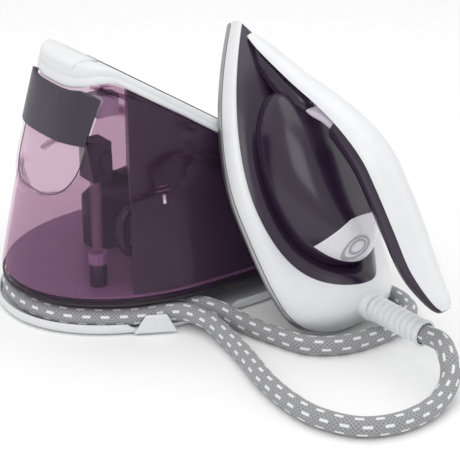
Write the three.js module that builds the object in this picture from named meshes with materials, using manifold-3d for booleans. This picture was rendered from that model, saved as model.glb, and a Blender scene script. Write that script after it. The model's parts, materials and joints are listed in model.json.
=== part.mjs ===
// Steam generator iron: a water station with a sloping rest, and the iron standing against it.
// Millimetres, +Z up. X runs along the station, tank end at -X, Y across it.
import * as THREE from 'three';
import { mergeVertices } from 'three/addons/utils/BufferGeometryUtils.js';
import Module from 'manifold-3d';

const wasm = await Module();
wasm.setup();

// ---- driving dimensions of the station ----
const GAP = 0.3;
const TANK_END = 125.6;
const HOSE_END = 150;
const BASE_HALF_WIDTH = 98;
const PLAN_TAPER = 0.00023;
const TANK_END_ROUNDNESS = 2.05;
const HOSE_END_ROUNDNESS = 3.5;
const TRAY_BOTTOM = 1.4;
const TRAY_FLOOR = 4.2;
const RIM_TOP = 9;
const RIM_WALL = 2.6;
const NOTCH_FLOOR = 5.2;
const PEDESTAL_TOP = 22;
const TANK_BOTTOM = 23.5;
const WATER_FLOOR = 31;
const TANK_WALL = 2.6;
const BODY_INSET = 3;
const BODY_LEAN = 0.225;
const TANK_END_LEAN = 0.285;
const REST_HEIGHT_AT_MIDDLE = 172;
const REST_SLOPE = 0.63;
const REST_THICKNESS = 11;
const HOUSING_WALL_X = -44;
const DOOR_HALF_WIDTH = 45.5;
const DOOR_BOTTOM = 104;
const DOOR_CORNER = 34;
const CAP_BOTTOM = 146.5;
const KNOB_RADIUS = 17;
const BOILER_X = 45;
const BOILER_RADIUS = 40;

// ---- driving dimensions of the iron, in its own frame: U heel to nose, W across, N up from the sole ----
const IRON_HEEL = [79.6, -171.3, -0.4];
const IRON_LEAN = 35.1;
const IRON_TURN = -86;
const SOLE_LENGTH = 258.6;
const SOLE_HALF_WIDTH = 62.2;
const SOLE_THICKNESS = 5;
const WIDEST_AT = 113.5;
const NOSE_POWER = 1.74;
const FLANGE_HALF_WIDTH = 54;
const FLANGE_REAR = 28;
const FLANGE_NOSE = 252;
const SKIRT_TOP = 19;
const HEEL_RISE = 26;
const DOME_HALF_WIDTH = 41;
const DOME_FRONT = 192;
const DOME_REAR = 44;
const DOME_TOP = 67;
const DOME_TOP_U = 80;
const SHELL_WALL = 2.4;
const RELIEF_BASE = [7.7, 0, 41.6];
const RELIEF_LEAN = 36;
const RELIEF_LENGTH = 53;

// ---- steam hose ----
const HOSE_RADIUS = 7.25;
const HOSE_SIDES = 8;
const HOSE_STEP = 27;

const COLOURS = {
  white: [0xe6e8ec, 0.35, 0], dark: [0x352a3c, 0.25, 0], tank: [0x8a6a90, 0.12, 0],
  clear: [0xd9bccb, 0.12, 0], black: [0x18161a, 0.6, 0], rubber: [0x2b2b2e, 0.9, 0],
  grey: [0x8d8b92, 0.5, 0], silver: [0xe0dfe4, 0.3, 0.1], steel: [0xb8bac0, 0.35, 0.9],
  cast: [0xa4a6a8, 0.5, 0.9], brass: [0xc9a860, 0.35, 0.9], lavender: [0xcdc4d2, 0.35, 0],
  green: [0x2f6a44, 0.6, 0], hose: [0x9b9ba0, 0.9, 0],
};

// ---- helpers ----
function clean(geometry) {
  geometry.deleteAttribute('normal');
  geometry.deleteAttribute('uv');
  const merged = mergeVertices(geometry, 1e-4);
  const index = merged.index.array;
  const p = merged.attributes.position;
  const kept = [];
  const [a, b, c] = [new THREE.Vector3(), new THREE.Vector3(), new THREE.Vector3()];
  let volume = 0;
  for (let i = 0; i < index.length; i += 3) {
    const [i0, i1, i2] = [index[i], index[i + 1], index[i + 2]];
    if (i0 === i1 || i1 === i2 || i0 === i2) continue;
    kept.push(i0, i1, i2);
    volume += a.fromBufferAttribute(p, i0).dot(b.fromBufferAttribute(p, i1)
      .cross(c.fromBufferAttribute(p, i2)));
  }
  if (volume < 0) kept.reverse();
  merged.setIndex(kept);
  return merged;
}

function warp(geometry, place) {
  const position = geometry.attributes.position;
  const point = new THREE.Vector3();
  for (let i = 0; i < position.count; i += 1) {
    point.fromBufferAttribute(position, i);
    position.setXYZ(i, ...place(point));
  }
  return clean(geometry);
}

// A rod whose ring at height v (0 to 1) and angle a is put where place(a, v) says; the two end
// faces close on the mean of their rings.
function warpedRod(sides, steps, place) {
  const middle = (v) => {
    const sum = [0, 0, 0];
    for (let i = 0; i < sides; i += 1) {
      const point = place((i / sides) * 2 * Math.PI, v);
      for (let k = 0; k < 3; k += 1) sum[k] += point[k] / sides;
    }
    return sum;
  };
  const geometry = new THREE.CylinderGeometry(1, 1, 1, sides, steps);
  return warp(geometry, (p) => {
    const v = p.y + 0.5;
    if (Math.hypot(p.x, p.z) < 0.5) return middle(v);
    return place(Math.atan2(p.z, p.x), v);
  });
}

// A shell: surface(angle, v, wall) from its edge (v = 0) to its far edge or pole (v = 1) and back inside.
function shellOf(sides, steps, wall, surface) {
  const last = 2 * steps + 1;
  const profile = Array.from({ length: last + 2 }, (_, k) => new THREE.Vector2(10, k % (last + 1)));
  return warp(new THREE.LatheGeometry(profile, sides), (p) => {
    const k = Math.round(p.y);
    const angle = Math.atan2(p.z, p.x);
    return k <= steps ? surface(angle, k / steps, 0) : surface(angle, (last - k) / steps, wall);
  });
}

function extrude(points, depth, curveSegments = 8) {
  const shape = points instanceof THREE.Shape
    ? points : new THREE.Shape(points.map(([x, y]) => new THREE.Vector2(x, y)));
  return clean(new THREE.ExtrudeGeometry(shape, { depth, bevelEnabled: false, curveSegments }));
}

// An outline drawn in X and Z, given thickness along Y from y0 to y1.
function slab(points, y0, y1, curveSegments = 8) {
  const geometry = extrude(points, y1 - y0, curveSegments);
  geometry.rotateX(Math.PI / 2);
  geometry.translate(0, y1, 0);
  return geometry;
}

function lathe(profile, sides = 20) {
  const points = profile.map(([r, z]) => new THREE.Vector2(r, z));
  const geometry = clean(new THREE.LatheGeometry(points, sides));
  geometry.rotateX(Math.PI / 2);
  return geometry;
}

const rod = (radius, z0, z1, sides = 20) => lathe([[0, z0], [radius, z0], [radius, z1], [0, z1]], sides);

const pipe = (outer, inner, z0, z1, sides = 20) => lathe(
  [[inner, z0], [outer, z0], [outer, z1], [inner, z1], [inner, z0]], sides);

function box(x0, x1, y0, y1, z0, z1) {
  const geometry = new THREE.BoxGeometry(x1 - x0, y1 - y0, z1 - z0);
  geometry.translate((x0 + x1) / 2, (y0 + y1) / 2, (z0 + z1) / 2);
  return clean(geometry);
}

function tube(points, radius, sides, steps) {
  const curve = new THREE.CatmullRomCurve3(points.map((p) => new THREE.Vector3(...p)));
  const ring = Array.from({ length: sides }, (_, i) => {
    const a = ((i + 0.5) / sides) * 2 * Math.PI;
    return new THREE.Vector2(radius * Math.cos(a), radius * Math.sin(a));
  });
  const count = steps ?? Math.ceil(curve.getLength() / HOSE_STEP);
  return clean(new THREE.ExtrudeGeometry(new THREE.Shape(ring), {
    steps: count, extrudePath: curve, bevelEnabled: false,
  }));
}

function solid(geometry) {
  return new wasm.Manifold(new wasm.Mesh({
    numProp: 3,
    vertProperties: new Float32Array(geometry.attributes.position.array),
    triVerts: new Uint32Array(geometry.index.array),
  }));
}

function shaped(start, { cut = [], join = [], keep = [] }) {
  let body = solid(start);
  for (const part of join) body = body.add(solid(part));
  for (const part of keep) body = body.intersect(solid(part));
  for (const part of cut) body = body.subtract(solid(part));
  const result = body.getMesh();
  const geometry = new THREE.BufferGeometry();
  geometry.setAttribute('position', new THREE.BufferAttribute(new Float32Array(result.vertProperties), 3));
  geometry.setIndex(new THREE.BufferAttribute(new Uint32Array(result.triVerts), 1));
  return geometry;
}

const moved = (geometry, x, y, z) => geometry.translate(x, y, z);

const station = new THREE.Group();
const iron = new THREE.Group();

function add(group, name, geometry, look) {
  const [color, roughness, metalness] = COLOURS[look];
  const mesh = new THREE.Mesh(geometry, new THREE.MeshStandardMaterial({ color, roughness, metalness }));
  mesh.name = name;
  group.add(mesh);
  return mesh;
}

// ---- outlines of the station ----
const signedPower = (value, power) => Math.sign(value) * Math.abs(value) ** power;

function planPoint(angle, tankEnd, hoseEnd, halfWidth, roundness = TANK_END_ROUNDNESS) {
  const c = Math.cos(angle);
  const power = 2 / (c < 0 ? roundness : HOSE_END_ROUNDNESS);
  const x = signedPower(c, power) * (c < 0 ? tankEnd : hoseEnd);
  const y = signedPower(Math.sin(angle), power) * halfWidth * (1 + PLAN_TAPER * x);
  return [x, y];
}

const trayPoint = (angle, inset) => planPoint(angle, TANK_END - inset, HOSE_END - inset, BASE_HALF_WIDTH - inset);

// The body leans inward and grows squarer as it rises.
function bodyPoint(angle, z, inset, tipReach = 0) {
  const up = Math.max(0, z - TANK_BOTTOM);
  const tankEnd = TANK_END - 5.6 - TANK_END_LEAN * Math.max(0, z - 30) - inset + tipReach;
  const roundness = TANK_END_ROUNDNESS + 0.0072 * up;
  return planPoint(angle, tankEnd, HOSE_END - BODY_INSET - 0.12 * up - inset,
    BASE_HALF_WIDTH - BODY_INSET - BODY_LEAN * up - inset, roundness);
}

// The rest climbs toward the tank end and levels off at its tip.
function restTop(x) {
  const past = Math.max(0, -45 - x);
  return REST_HEIGHT_AT_MIDDLE - REST_SLOPE * x - 0.02 * past * past;
}

// The rest is a slab that thickens to a block at the tip, where the lock sits.
const restThickness = (x) => REST_THICKNESS + 4 * Math.min(1, Math.max(0, (-50 - x) / 18));

const roof = (x) => restTop(x) - restThickness(x) - 1.2;

// A point of the body's skin a share v of the way from z0 up to height(x).
function skinPoint(angle, v, inset, z0, height, tipReach = 0) {
  let z = z0;
  for (let i = 0; i < 8; i += 1) {
    const x = bodyPoint(angle, z, inset, tipReach)[0];
    z = z0 + v * (height(x) - z0);
  }
  return [...bodyPoint(angle, z, inset, tipReach), z];
}

const bodySolid = (sides, steps, inset, z0, height, tipReach = 0) => warpedRod(
  sides, steps, (a, v) => skinPoint(a, v, inset, z0, height, tipReach));

const plate = (sides, inset, z0, z1) => warpedRod(
  sides, 1, (a, v) => [...trayPoint(a, inset), z0 + v * (z1 - z0)]);

// ---- base tray, feet, pedestal ----
const CLIP = { x: -47.5, y: -93.5, turn: -27 };
function clipShape(grow) {
  const shape = slab([[-17 - grow, 1.8 - grow], [17 + grow, 1.8 - grow], [9 + grow, 17 + grow],
    [-7 - grow, 17 + grow]], -1.4 - grow, 1.4 + grow);
  shape.rotateZ(THREE.MathUtils.degToRad(CLIP.turn));
  return moved(shape, CLIP.x, CLIP.y, 0);
}

const LOOP_CENTRE = [88, 41];
const LOOP_HOLE = 54;

function baseTray() {
  const outer = warpedRod(40, 1, (a, v) => [...trayPoint(a, 2 * (1 - v)),
    TRAY_BOTTOM + v * (RIM_TOP - TRAY_BOTTOM)]);
  return shaped(outer, { cut: [
    plate(40, RIM_WALL, TRAY_FLOOR, RIM_TOP + 5),
    box(-64, 24, -110, -76, NOTCH_FLOOR, RIM_TOP + 5),
    box(86, 140, -110, -70, NOTCH_FLOOR, RIM_TOP + 5),
    clipShape(GAP),
  ] });
}

const FEET = [[-86, -44], [-86, 44], [118, -66], [118, 66]];
FEET.forEach(([x, y], i) => {
  add(station, `foot_${i + 1}`, moved(lathe([[0, 0], [9, 0], [9, TRAY_BOTTOM - GAP],
    [0, TRAY_BOTTOM - GAP]], 12), x, y, 0), 'rubber');
});
add(station, 'base_tray', baseTray(), 'white');
add(station, 'hose_clip', clipShape(0), 'white');

const pedestal = warpedRod(32, 1, (a, v) => {
  const [x, y] = trayPoint(a, 37);
  return [x, y, TRAY_FLOOR + GAP + v * (PEDESTAL_TOP - TRAY_FLOOR - GAP)];
});
const returnBend = box(-70, 62, -11, 60, 0, 40);
returnBend.rotateZ(-Math.PI / 4);
moved(returnBend, LOOP_CENTRE[0] - 55, 33, 0);
add(station, 'pedestal', shaped(pedestal, { cut: [
  moved(rod(LOOP_HOLE, 0, 40, 24), ...LOOP_CENTRE, 0),
  returnBend,
  box(50, 200, 40, 100, 0, 40),
] }), 'grey');
add(station, 'hose_hub', moved(rod(33, TRAY_FLOOR + GAP, PEDESTAL_TOP, 24), ...LOOP_CENTRE, 0), 'grey');

// ---- hose outlet on the pedestal's front wall ----
const OUTLET = { x: 96, y: -62.3, z: 13.4 };
const outletGland = lathe([[0, 0.3], [8.8, 0.3], [8.8, 3], [8, 5], [0, 5]], 14);
outletGland.rotateX(Math.PI / 2);
add(station, 'hose_outlet', moved(outletGland, OUTLET.x, OUTLET.y, OUTLET.z), 'black');

// ---- underside and tank ----
const tankPlate = (inset, z0, z1) => warpedRod(32, 1, (a, v) => [
  ...bodyPoint(a, TANK_BOTTOM, inset), z0 + v * (z1 - z0)]);
add(station, 'chassis_plate', tankPlate(TANK_WALL + 1.4, PEDESTAL_TOP + GAP, 25), 'black');

const outerBody = () => bodySolid(40, 5, 0, TANK_BOTTOM, roof);
const innerBody = (z0) => bodySolid(32, 5, TANK_WALL, z0, (x) => roof(x) + 20);

function doorOutline(grow) {
  const w = DOOR_HALF_WIDTH + grow;
  const low = DOOR_BOTTOM - grow;
  const r = DOOR_CORNER + grow;
  const shape = new THREE.Shape();
  shape.moveTo(-w - 5, 230);
  shape.lineTo(-w, low + r);
  shape.quadraticCurveTo(-w, low, -w + r, low);
  shape.lineTo(w - r, low);
  shape.quadraticCurveTo(w, low, w, low + r);
  shape.lineTo(w + 5, 230);
  return shape;
}

// The door's outline carried along X through the tank end.
function doorPrism(grow) {
  const geometry = extrude(doorOutline(grow), 165, 4);
  geometry.rotateX(Math.PI / 2);
  geometry.rotateZ(Math.PI / 2);
  geometry.translate(-200, 0, 0);
  return geometry;
}

// The door turns about a thin pin let into the outer face at its lower edge.
const HINGE_X = bodyPoint(Math.PI, DOOR_BOTTOM, 0)[0] - 0.4;
const HINGE_Z = DOOR_BOTTOM - 0.3;
const DOOR_REACH = 88.5;
function acrossHinge(radius, half, sides) {
  const geometry = rod(radius, -half, half, sides);
  geometry.rotateX(Math.PI / 2);
  return moved(geometry, HINGE_X, 0, HINGE_Z);
}
add(station, 'water_tank', shaped(outerBody(), {
  cut: [innerBody(TANK_BOTTOM - 5), doorPrism(GAP), acrossHinge(1.3, 18, 8)] }), 'tank');
add(station, 'tank_gasket', shaped(tankPlate(TANK_WALL + 2, 25 + GAP, 26.8), {
  cut: [tankPlate(TANK_WALL + 6, 20, 40)] }), 'rubber');
add(station, 'tank_floor', bodySolid(32, 1, TANK_WALL + 2.2, WATER_FLOOR - 2.5, () => WATER_FLOOR), 'tank');

// ---- filling door ----
const doorShell = (grow) => shaped(bodySolid(40, 5, -grow, TANK_BOTTOM, (x) => roof(x) - 0.6),
  { cut: [innerBody(TANK_BOTTOM - 5)], keep: [doorPrism(0)] });
add(station, 'door_window', shaped(doorShell(0), {
  cut: [box(-200, 0, -60, 60, CAP_BOTTOM, 300), acrossHinge(1.3, 18, 8)] }), 'clear');
add(station, 'door_cap', shaped(shaped(doorShell(0.8), { cut: [box(-200, 0, -60, 60, 0, CAP_BOTTOM + GAP)] }), {
  keep: [acrossHinge(DOOR_REACH, 70, 40)] }), 'dark');
add(station, 'door_pin', acrossHinge(0.9, 17, 8), 'tank');

// ---- inside the see-through end ----
const TUBE_X = -70;
const TUBE_Y = -47;
const along = (geometry, x, y) => moved(geometry, x, y, 0);
add(station, 'suction_foot', along(pipe(7, 5, WATER_FLOOR + GAP, 50, 12), TUBE_X, TUBE_Y), 'dark');
add(station, 'suction_coupling', along(pipe(7.6, 4.2, 50 + GAP, 59, 12), TUBE_X, TUBE_Y), 'clear');
add(station, 'suction_tube', along(pipe(4.4, 3, 59 + GAP, 117, 10), TUBE_X, TUBE_Y), 'clear');
const manifoldBlock = shaped(box(-73, -56, -50, -30, 117.5, 148), { join: [
  box(-66, -58, -54, -49, 124, 140)] });
add(station, 'filling_manifold', shaped(manifoldBlock, { keep: [bodySolid(32, 4, 4, 40, roof)] }), 'dark');
add(station, 'platform_bracket', shaped(box(-64, -45.5, -45, -30, 166, 183), {
  keep: [bodySolid(32, 4, 4, 40, roof)] }), 'lavender');
add(station, 'inlet_elbow', tube([[-44.9, -60, 92], [-51, -60, 92], [-56, -61, 84], [-56, -62, 70],
  [-51, -62, 60], [-44.9, -62, 60]], 4.5, 8, 8), 'dark');

const housing = shaped(bodySolid(36, 4, 9, WATER_FLOOR + GAP, (x) => roof(x) - 6), {
  keep: [box(HOUSING_WALL_X, 200, -120, 120, 0, 300)],
  cut: [shaped(bodySolid(32, 4, 11.5, WATER_FLOOR - 3, (x) => roof(x) - 9),
    { keep: [box(HOUSING_WALL_X + 2.5, 200, -120, 120, 0, 300)] })],
});
add(station, 'inner_housing', housing, 'dark');

// ---- boiler, pump, valve, board ----
const BOILER_BOTTOM = 43;
const BOILER_TOP = 84;
add(station, 'boiler_heater', along(lathe([[0, 34], [28, 34], [28, BOILER_BOTTOM - GAP], [0, BOILER_BOTTOM - GAP]],
  18), BOILER_X, 0), 'cast');
add(station, 'boiler_shell', along(lathe([[0, BOILER_BOTTOM], [BOILER_RADIUS, BOILER_BOTTOM], [BOILER_RADIUS, 74],
  [30, BOILER_TOP], [0, BOILER_TOP]], 24), BOILER_X, 0), 'steel');
add(station, 'boiler_thermostat', along(rod(8, BOILER_TOP + GAP, 90, 12), BOILER_X, 0), 'black');
add(station, 'steam_valve', shaped(box(98, 122, -12, 12, 40, 58),
  { join: [moved(rod(8, 50, 68, 12), 110, 0, 0)] }), 'brass');
add(station, 'steam_pipe', tube([[BOILER_X + BOILER_RADIUS + 0.8, 0, 52], [90, 0, 52], [97.5, 0, 52]], 3.2, 8, 2), 'brass');
const pumpBody = rod(13, -18, 13, 14);
pumpBody.rotateY(Math.PI / 2);
add(station, 'water_pump', shaped(moved(pumpBody, -18, 22, 58), { join: [box(-30, -8, 12, 32, 34, 50)] }), 'black');
add(station, 'pump_pipe', tube([[-4.2, 22, 58], [0, 21, 58], [3, 14, 58], [3.6, 8, 58]], 2.4, 8, 4), 'grey');
add(station, 'pressure_valve', along(rod(6, 40, 66, 10), -8, -34), 'brass');
add(station, 'control_board', box(-30, 26, -62, -60.4, 36, 84), 'green');

// ---- hose end: descaling knob, mains inlet, power button ----
function onHoseEnd(geometry, y, z, reach = 20) {
  geometry.rotateY(Math.PI / 2);
  return moved(geometry, bodyPoint(0, z - reach, 0)[0], y, z);
}
const KNOB = { y: 38, z: 46 };
const KNOB_FACE = bodyPoint(0, KNOB.z - 20, 0)[0] + 7;
add(station, 'descaling_seat', onHoseEnd(pipe(19, 7, GAP, 4, 18), KNOB.y, KNOB.z), 'black');
add(station, 'descaling_knob', shaped(onHoseEnd(lathe([[0, 4 + GAP], [KNOB_RADIUS, 4 + GAP], [KNOB_RADIUS, 12],
  [15, 14], [0, 14]], 20), KNOB.y, KNOB.z), { join: [onHoseEnd(rod(6.5, 1, 6, 12), KNOB.y, KNOB.z)],
  cut: [box(KNOB_FACE, KNOB_FACE + 20, KNOB.y - 14, KNOB.y - 3, KNOB.z - 20, KNOB.z + 20),
    box(KNOB_FACE, KNOB_FACE + 20, KNOB.y + 3, KNOB.y + 14, KNOB.z - 20, KNOB.z + 20)] }), 'grey');
add(station, 'mains_inlet', onHoseEnd(lathe([[0, GAP], [10, GAP], [10, 4], [7, 6], [7, 14], [0, 14]], 14), -30, 42, 11), 'black');
add(station, 'power_button', onHoseEnd(rod(8, 2.2, 4.6, 16), 0, 62, 9), 'silver');

// ---- platform, pads, carry lock ----
const TIP_REACH = 1;
const slopeAngle = Math.atan(REST_SLOPE);
// The rest seen from the side, cut to the body's outline.
function restSolid(grow, lift) {
  const stations = [-84, -72, -66, -60, -55, -50, -45, 0, 150];
  const top = stations.map((x) => [x, restTop(x) + lift]);
  const under = stations.map((x) => [x, restTop(x) - restThickness(x)]).reverse();
  return shaped(slab([...top, ...under], -100, 100), {
    keep: [bodySolid(40, 6, -grow, 60, () => 225, TIP_REACH)] });
}
// A block lying on the slope: s along it from the middle, t across it, h above its surface.
function onSlope(s0, s1, t0, t1, h0, h1) {
  const geometry = box(s0, s1, t0, t1, h0, h1);
  geometry.rotateY(slopeAngle);
  return moved(geometry, 0, 0, REST_HEIGHT_AT_MIDDLE);
}
const BUTTON = { x0: -90, x1: -50, half: 24, floor: 195 };
add(station, 'platform', shaped(restSolid(0.4, 0), { cut: [
  onSlope(-44, 108, -31, 31, -3, 8),
  box(BUTTON.x0, BUTTON.x1 + 4, -BUTTON.half - GAP, BUTTON.half + GAP, BUTTON.floor, 230),
  box(BUTTON.x1, -38, -6.3, 6.3, BUTTON.floor, 230),
] }), 'white');
[-16, 16].forEach((y, i) => {
  add(station, `rest_pad_${i + 1}`, onSlope(-40, 104, y - 9, y + 9, -3 + GAP, 0.8), 'rubber');
});
const lockButton = shaped(restSolid(0.2, 1), {
  keep: [box(BUTTON.x0, BUTTON.x1, -BUTTON.half, BUTTON.half, BUTTON.floor + GAP, 230)] });
add(station, 'lock_button', lockButton, 'white');
add(station, 'lock_hook', shaped(box(BUTTON.x1 + GAP, -41, -5, 5, BUTTON.floor + GAP, 197.5), {
  join: [box(-46, -42, -5, 5, 197, 199)] }), 'grey');

// ---- outlines of the iron ----
function solePoint(angle, inset) {
  const c = Math.cos(angle);
  const side = Math.sign(Math.sin(angle) || 1);
  const half = SOLE_HALF_WIDTH - inset;
  if (c >= 0) {
    return [WIDEST_AT + (SOLE_LENGTH - WIDEST_AT - 1.3 * inset) * c, side * half * (1 - c ** NOSE_POWER)];
  }
  const b = -c;
  const heel = Math.sqrt(Math.max(0, 1 - b ** 9));
  return [WIDEST_AT - (WIDEST_AT - inset) * b, side * half * (1 - 0.16 * b * b) * heel];
}

function flangePoint(angle) {
  const c = Math.cos(angle);
  const n = SKIRT_TOP + HEEL_RISE * Math.max(0, -c) ** 6;
  if (c >= 0) {
    const w = Math.sign(Math.sin(angle)) * FLANGE_HALF_WIDTH * (1 - c ** NOSE_POWER);
    return [WIDEST_AT + (FLANGE_NOSE - WIDEST_AT) * c, w, n];
  }
  return [WIDEST_AT + (WIDEST_AT - FLANGE_REAR) * c, FLANGE_HALF_WIDTH * Math.sin(angle), n];
}

function domeEdge(angle, inset = 0) {
  const c = Math.cos(angle);
  const reach = (c >= 0 ? DOME_FRONT - WIDEST_AT : WIDEST_AT - DOME_REAR) - inset;
  const n = SKIRT_TOP + 3 + 8 * Math.max(0, c) ** 3 + (HEEL_RISE - 12) * Math.max(0, -c) ** 5;
  return [WIDEST_AT + reach * c, (DOME_HALF_WIDTH - inset) * Math.sin(angle), n];
}

const mix = (a, b, t) => a.map((value, i) => value + (b[i] - value) * t);

const SKIRT_FOOT = SOLE_THICKNESS + GAP;

// Quarter-round from the sole's edge up to the flange line.
function skirtPoint(angle, v, wall) {
  const quarter = (v * Math.PI) / 2;
  const low = solePoint(angle, 0.6 + wall);
  const high = flangePoint(angle);
  const [u, w] = mix(low, high, 1 - Math.cos(quarter));
  return [u, w, SKIRT_FOOT + (high[2] - SKIRT_FOOT - wall) * Math.sin(quarter)];
}

// The dark body between the flange line and the dome.
function ledgePoint(angle, v, wall) {
  const [u, w, n] = mix(flangePoint(angle), domeEdge(angle, -GAP), v);
  return [u, w, n + GAP + 2 * Math.sin(v * Math.PI) - wall * Math.min(1, 2 * v)];
}

function domePoint(angle, v, wall) {
  const edge = domeEdge(angle, wall);
  const t = (v * Math.PI) / 2;
  const [u, w] = mix([DOME_TOP_U, 0], edge, Math.cos(t) ** 0.72);
  return [u, w, edge[2] + (DOME_TOP - edge[2] - wall) * Math.sin(t) ** 0.85];
}

const IRON_SIDES = 36;

// ---- handle: an ellipse carried along a bent path in the iron's middle plane ----
const HANDLE = [[239, 23, 5, 4], [226, 31, 8.5, 6], [188, 55.5, 11.5, 9.5], [157, 78.5, 14.5, 12],
  [132, 93, 16.5, 14.5], [108, 102, 17.5, 15.5], [85, 104, 17.5, 15.5], [53, 104.5, 17, 15],
  [23, 104.5, 15.5, 13], [2, 109, 12, 9], [-8, 112.5, 9, 6], [-12.5, 114.5, 5, 3]];
const handlePath = new THREE.CatmullRomCurve3(HANDLE.map(([u, n]) => new THREE.Vector3(u, 0, n)));
const handleSize = new THREE.CatmullRomCurve3(HANDLE.map(([, , w, h]) => new THREE.Vector3(w, h, 0)));
const PARTING = THREE.MathUtils.degToRad(27);

// A point at angle phi round the handle's section, at a share v along the path.
function handlePoint(phi, v, grow, ceiling = 9) {
  const centre = handlePath.getPoint(v);
  const tangent = handlePath.getTangent(v);
  const size = handleSize.getPoint(v);
  const out = Math.min(Math.sin(phi) * (size.y + grow), Math.sin(PARTING) * size.y + ceiling);
  return [centre.x + tangent.z * out, Math.cos(phi) * (size.x + grow), centre.z - tangent.x * out];
}

// The white shell lies above the parting line.
function shellSection(angle, v) {
  const share = ((angle + 2 * Math.PI) % (2 * Math.PI)) / Math.PI;
  if (share <= 1) return handlePoint(PARTING + share * (Math.PI - 2 * PARTING), v, 0);
  const [u, , n] = handlePoint(PARTING, v, 0);
  const [, across] = handlePoint(PARTING, v, 0);
  return [u, across * (2 * (share - 1) - 1), n];
}

const GRIP_START = 0.36;
const gripSection = (angle, v) => handlePoint(angle, GRIP_START + v * (0.99 - GRIP_START), 0, -0.7);

const triggerShape = [[162, 63], [156, 70], [146, 79], [135, 87], [131, 92], [140, 92], [151, 85], [160, 76], [168, 66]];
const triggerRoom = [[171, 56], [162, 57], [140, 76], [126, 85], [123, 97], [140, 98], [155, 88], [170, 71], [178, 56]];
const room = () => slab(triggerRoom, -13, 13);

const neck = slab([[240, 21], [235, 27], [205, 43], [182, 56.5], [172, 62], [166, 52], [168, 40], [176, 28],
  [200, 24]], -10, 10);
const handleClear = warpedRod(14, 16, (a, v) => {
  const end = v < 0.01 ? 2.5 : 0;
  const [u, w, n] = handlePoint(a, v, 0.8, 90);
  return [u + end, w, n - end];
});
const domeClear = warpedRod(IRON_SIDES, 1, (a, v) => {
  const [u, w] = domeEdge(a, -GAP);
  return [u, w, 10 + v * 90];
});
const ledge = shellOf(IRON_SIDES, 2, SHELL_WALL, ledgePoint);
add(iron, 'body_cover', shaped(ledge, { join: [shaped(neck, { cut: [domeClear] })], cut: [handleClear] }), 'dark');

// The silver cap closes the dome's rear: its outline seen from above.
const capOutline = (grow) => {
  const points = [[20, -21], [50, -24], [67, -31], [74, -25], [76, 0], [74, 25], [67, 31], [50, 24], [20, 21]];
  const grown = points.map(([u, w]) => new THREE.Vector2(u + grow * (u > 40 ? 1 : 0), w + grow * Math.sign(w)));
  return extrude(new THREE.Shape(grown), 120);
};
const domeRaw = () => shellOf(IRON_SIDES, 6, SHELL_WALL, domePoint);
add(iron, 'dome_cover', shaped(domeRaw(), { cut: [capOutline(GAP), handleClear] }), 'dark');
add(iron, 'rear_cap', shaped(domeRaw(), { keep: [capOutline(0)] }), 'silver');

const neckClear = slab([[243, 10], [243, 30], [205, 46], [182, 60], [172, 66], [162, 52], [160, 30]], -11, 11);
add(iron, 'handle_shell', shaped(warpedRod(16, 16, shellSection), { cut: [room()] }), 'white');
add(iron, 'handle_grip', shaped(warpedRod(12, 10, gripSection), { cut: [room(), neckClear] }), 'dark');
add(iron, 'steam_trigger', slab(triggerShape, -11, 11), 'lavender');

// ---- soleplate, chamber, skirt ----
const soleOuter = warpedRod(IRON_SIDES, 2, (a, v) => [
  ...solePoint(a, v < 0.1 ? 1.2 : 0), [0, 1.2, SOLE_THICKNESS][Math.round(v * 2)]]);
add(iron, 'soleplate', soleOuter, 'cast');
add(iron, 'steam_chamber', warpedRod(24, 1, (a, v) => {
  const [u, w] = solePoint(a, 14);
  return [u * 0.9 + 10, w, SKIRT_FOOT + v * 8];
}), 'cast');
add(iron, 'heating_element', tube([[60, 28, 15.9], [120, 28, 15.9], [170, 12, 15.9], [188, 0, 15.9],
  [170, -12, 15.9], [120, -28, 15.9], [60, -28, 15.9]], 2.1, 6, 18), 'steel');
add(iron, 'iron_thermostat', moved(rod(9, SKIRT_FOOT + 8 + GAP, 20, 12), 95, 0, 0), 'black');

function leaned(geometry) {
  geometry.rotateY(THREE.MathUtils.degToRad(-RELIEF_LEAN));
  return moved(geometry, ...RELIEF_BASE);
}
const skirtShell = shellOf(IRON_SIDES, 3, SHELL_WALL, skirtPoint);
add(iron, 'skirt', shaped(skirtShell, { cut: [leaned(rod(11 + GAP, -34, 10, 14))] }), 'white');

// ---- hose entry of the iron ----
add(iron, 'hose_collar', leaned(lathe([[0, -18], [11, -18], [11, 0.5], [0, 0.5]], 14)), 'white');
const ribs = [[0, 1]];
for (let i = 0; i < 8; i += 1) {
  const z = 1 + i * 5.8;
  const r = 10.2 - i * 0.06;
  ribs.push([r, z], [r, z + 4.6], [r - 1.1, z + 4.9], [r - 1.1, z + 5.5]);
}
ribs.push([10.4, RELIEF_LENGTH - 4], [10.4, RELIEF_LENGTH], [8.4, RELIEF_LENGTH], [8.4, RELIEF_LENGTH - 10],
  [0, RELIEF_LENGTH - 10]);
add(iron, 'strain_relief', leaned(lathe(ribs, 12)), 'white');

// ---- small working pieces of the iron ----
const lightRing = pipe(9.5, 7, 0, 1.2, 16);
lightRing.rotateY(THREE.MathUtils.degToRad(-46));
add(iron, 'temperature_light', moved(lightRing, 50, 0, 61.5), 'grey');
add(iron, 'iron_steam_pipe', tube([[24, 0, 27], [32, 0, 22], [42, 0, 18.5], [52, 0, 17]], 2.6, 8, 4), 'brass');

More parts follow.
